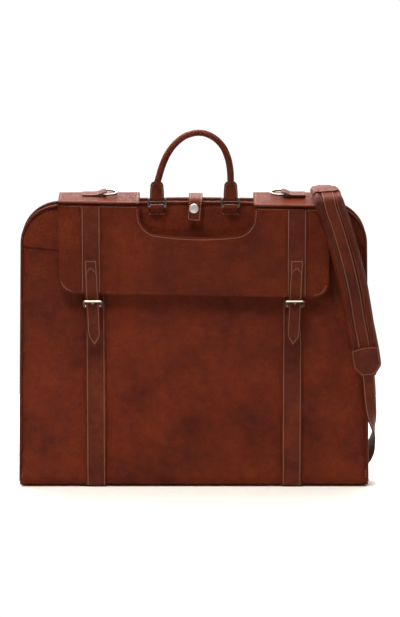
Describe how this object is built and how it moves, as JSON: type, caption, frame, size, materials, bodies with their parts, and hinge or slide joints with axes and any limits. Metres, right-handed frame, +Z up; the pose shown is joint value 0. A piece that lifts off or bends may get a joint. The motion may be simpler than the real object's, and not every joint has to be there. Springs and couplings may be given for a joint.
{
  "type": "garment bag",
  "caption": "Folded leather garment bag with a buckled flap, a rolled top handle on rings, a snapped hanger tab and a detachable padded shoulder strap.",
  "frame": {"origin": "middle of the foot of the folded bag, on the surface that it stands on", "axes": "+Z up, +X to the right as seen from the flap side, -Y towards the viewer of the flap side, +Y to the back"},
  "size_m": [0.6202, 0.1155, 0.6205],
  "materials": {
    "cord_core": "twisted cord filler",
    "leather": "pebbled tan-brown leather, worn lighter at the edges",
    "leather_edge": "dark burnished edge",
    "leather_strap": "smooth strap leather with stitched edges",
    "lining": "woven lining",
    "nickel": "aged nickel plate",
    "snap_metal": "bright nickel snap",
    "zip_metal": "brass zip teeth"
  },
  "bodies": {
    "bag": {"front_panel": "leather", "front_yoke": "leather", "front_gusset": "leather", "front_inner_wall": "lining", "front_piping": "leather_edge", "back_panel": "leather", "back_gusset": "leather", "back_inner_wall": "lining", "back_piping": "leather_edge", "bottom_fold": "leather", "body_band_left": "leather_strap", "body_band_right": "leather_strap", "flap_roots": "leather_strap", "buckle_chapes": "leather_strap", "handle_ring_chapes": "leather_strap", "hanger_tab_strap": "leather_strap", "snap_stud": "snap_metal", "zip_tape": "lining", "zip_teeth": "zip_metal", "hanger_clamp_base": "nickel", "hanger_clamp_pin": "nickel", "garment_strap": "lining", "inner_pocket": "lining"},
    "flap_top": {"flap_top_left": "leather", "flap_top_right": "leather", "flap_welts": "leather_edge", "d_ring_chapes": "leather_strap"},
    "flap_front": {"flap_front": "leather", "flap_bands": "leather_strap", "closure_strap_left": "leather_strap", "closure_strap_right": "leather_strap"},
    "ring_left": {"handle_ring_left": "nickel"},
    "ring_right": {"handle_ring_right": "nickel"},
    "handle": {"handle_grip": "leather_strap", "handle_core": "cord_core", "handle_tab_left": "leather_strap", "handle_tab_right": "leather_strap"},
    "d_ring_left": {"d_ring_left": "nickel"},
    "d_ring_right": {"d_ring_right": "nickel"},
    "buckle_left": {"buckle_frame_left": "nickel"},
    "buckle_right": {"buckle_frame_right": "nickel"},
    "prong_left": {"buckle_prong_left": "nickel"},
    "prong_right": {"buckle_prong_right": "nickel"},
    "hanger_tab": {"hanger_tab_end": "leather_strap", "snap_cap": "snap_metal", "snap_socket": "snap_metal"},
    "shoulder_strap": {"shoulder_strap": "leather_strap", "shoulder_pad": "leather", "pad_cap_upper": "leather_strap", "pad_cap_lower": "leather_strap", "strap_slider": "nickel"},
    "swivel_upper": {"hook_swivel_upper": "nickel"},
    "swivel_lower": {"hook_swivel_lower": "nickel"},
    "hook_upper": {"hook_body_upper": "nickel"},
    "hook_lower": {"hook_body_lower": "nickel"},
    "gate_upper": {"hook_gate_upper": "nickel"},
    "gate_lower": {"hook_gate_lower": "nickel"},
    "zip_slider": {"zip_slider": "zip_metal", "zip_pull": "zip_metal"},
    "clamp_lever": {"hanger_clamp_lever": "nickel"}
  },
  "joints": [
    {"name": "flap_top_hinge", "type": "hinge", "parent": "bag", "child": "flap_top", "pos_m": [0, 0.0245, 0.504], "axis": [-1, 0, 0], "range_deg": [0, 75]},
    {"name": "flap_front_hinge", "type": "hinge", "parent": "flap_top", "child": "flap_front", "pos_m": [0, -0.0345, 0.4885], "axis": [-1, 0, 0], "range_deg": [0, 75], "deforming": ["closure_strap_left", "closure_strap_right", "shoulder_pad", "shoulder_strap", "pad_cap_upper", "pad_cap_lower"]},
    {"name": "handle_ring_left", "type": "hinge", "parent": "bag", "child": "ring_left", "pos_m": [-0.0625, -0.031, 0.4885], "axis": [1, 0, 0], "range_deg": [-12, 85]},
    {"name": "handle_ring_right", "type": "hinge", "parent": "bag", "child": "ring_right", "pos_m": [0.0625, -0.031, 0.4885], "axis": [1, 0, 0], "range_deg": [-12, 85]},
    {"name": "handle_swing", "type": "hinge", "parent": "ring_left", "child": "handle", "pos_m": [-0.0625, -0.031, 0.502], "axis": [1, 0, 0], "range_deg": [-60, 80]},
    {"name": "d_ring_swing_left", "type": "hinge", "parent": "flap_top", "child": "d_ring_left", "pos_m": [-0.152, 0.00142, 0.50747], "axis": [0, -0.9925, -0.1226], "range_deg": [0, 110]},
    {"name": "d_ring_swing_right", "type": "hinge", "parent": "flap_top", "child": "d_ring_right", "pos_m": [0.152, 0.00142, 0.50747], "axis": [0, 0.9925, 0.1226], "range_deg": [0, 110]},
    {"name": "buckle_swing_left", "type": "hinge", "parent": "bag", "child": "buckle_left", "pos_m": [-0.172, -0.03142, 0.3165], "axis": [1, 0, 0], "range_deg": [0, 50]},
    {"name": "prong_swing_left", "type": "hinge", "parent": "buckle_left", "child": "prong_left", "pos_m": [-0.172, -0.03142, 0.3165], "axis": [1, 0, 0], "range_deg": [0, 45]},
    {"name": "buckle_swing_right", "type": "hinge", "parent": "bag", "child": "buckle_right", "pos_m": [0.172, -0.03142, 0.3165], "axis": [1, 0, 0], "range_deg": [0, 50]},
    {"name": "prong_swing_right", "type": "hinge", "parent": "buckle_right", "child": "prong_right", "pos_m": [0.172, -0.03142, 0.3165], "axis": [1, 0, 0], "range_deg": [0, 45]},
    {"name": "hanger_tab_lift", "type": "hinge", "parent": "bag", "child": "hanger_tab", "pos_m": [0, -0.029, 0.4995], "axis": [-1, 0, 0], "range_deg": [0, 110]},
    {"name": "strap_lift", "type": "slide", "parent": "bag", "child": "shoulder_strap", "axis": [0.7071, 0, 0.7071], "range_m": [0, 0.35]},
    {"name": "swivel_tilt_upper", "type": "hinge", "parent": "shoulder_strap", "child": "swivel_upper", "pos_m": [0.214, 0.0317, 0.33568], "axis": [1, 0, 0], "range_deg": [0, 60]},
    {"name": "swivel_tilt_lower", "type": "hinge", "parent": "shoulder_strap", "child": "swivel_lower", "pos_m": [0.16568, 0.046, 0.00582], "axis": [0, 1, 0], "range_deg": [0, 40]},
    {"name": "hook_turn_upper", "type": "hinge", "parent": "swivel_upper", "child": "hook_upper", "pos_m": [0.214, 0.0317, 0.33568], "axis": [0, 0, 1], "range_deg": [-15, 15]},
    {"name": "hook_turn_lower", "type": "hinge", "parent": "swivel_lower", "child": "hook_lower", "pos_m": [0.16568, 0.046, 0.00582], "axis": [1, 0, 0], "range_deg": [-60, 60]},
    {"name": "gate_upper", "type": "hinge", "parent": "hook_upper", "child": "gate_upper", "pos_m": [0.205, 0.0317, 0.30378], "axis": [0, -1, 0], "range_deg": [0, 30]},
    {"name": "gate_lower", "type": "hinge", "parent": "hook_lower", "child": "gate_lower", "pos_m": [0.13378, 0.037, 0.00582], "axis": [0, 0, 1], "range_deg": [0, 30]},
    {"name": "zip_run", "type": "slide", "parent": "bag", "child": "zip_slider", "axis": [0, 0, -1], "range_m": [0, 0.34]},
    {"name": "clamp_lever_lift", "type": "hinge", "parent": "bag", "child": "clamp_lever", "pos_m": [0, 0.0155, 0.464], "axis": [-1, 0, 0], "range_deg": [0, 7]}
  ],
  "couplings": [
    {"joint": "handle_ring_right", "follows": "handle_ring_left", "ratio": 1}
  ]
}
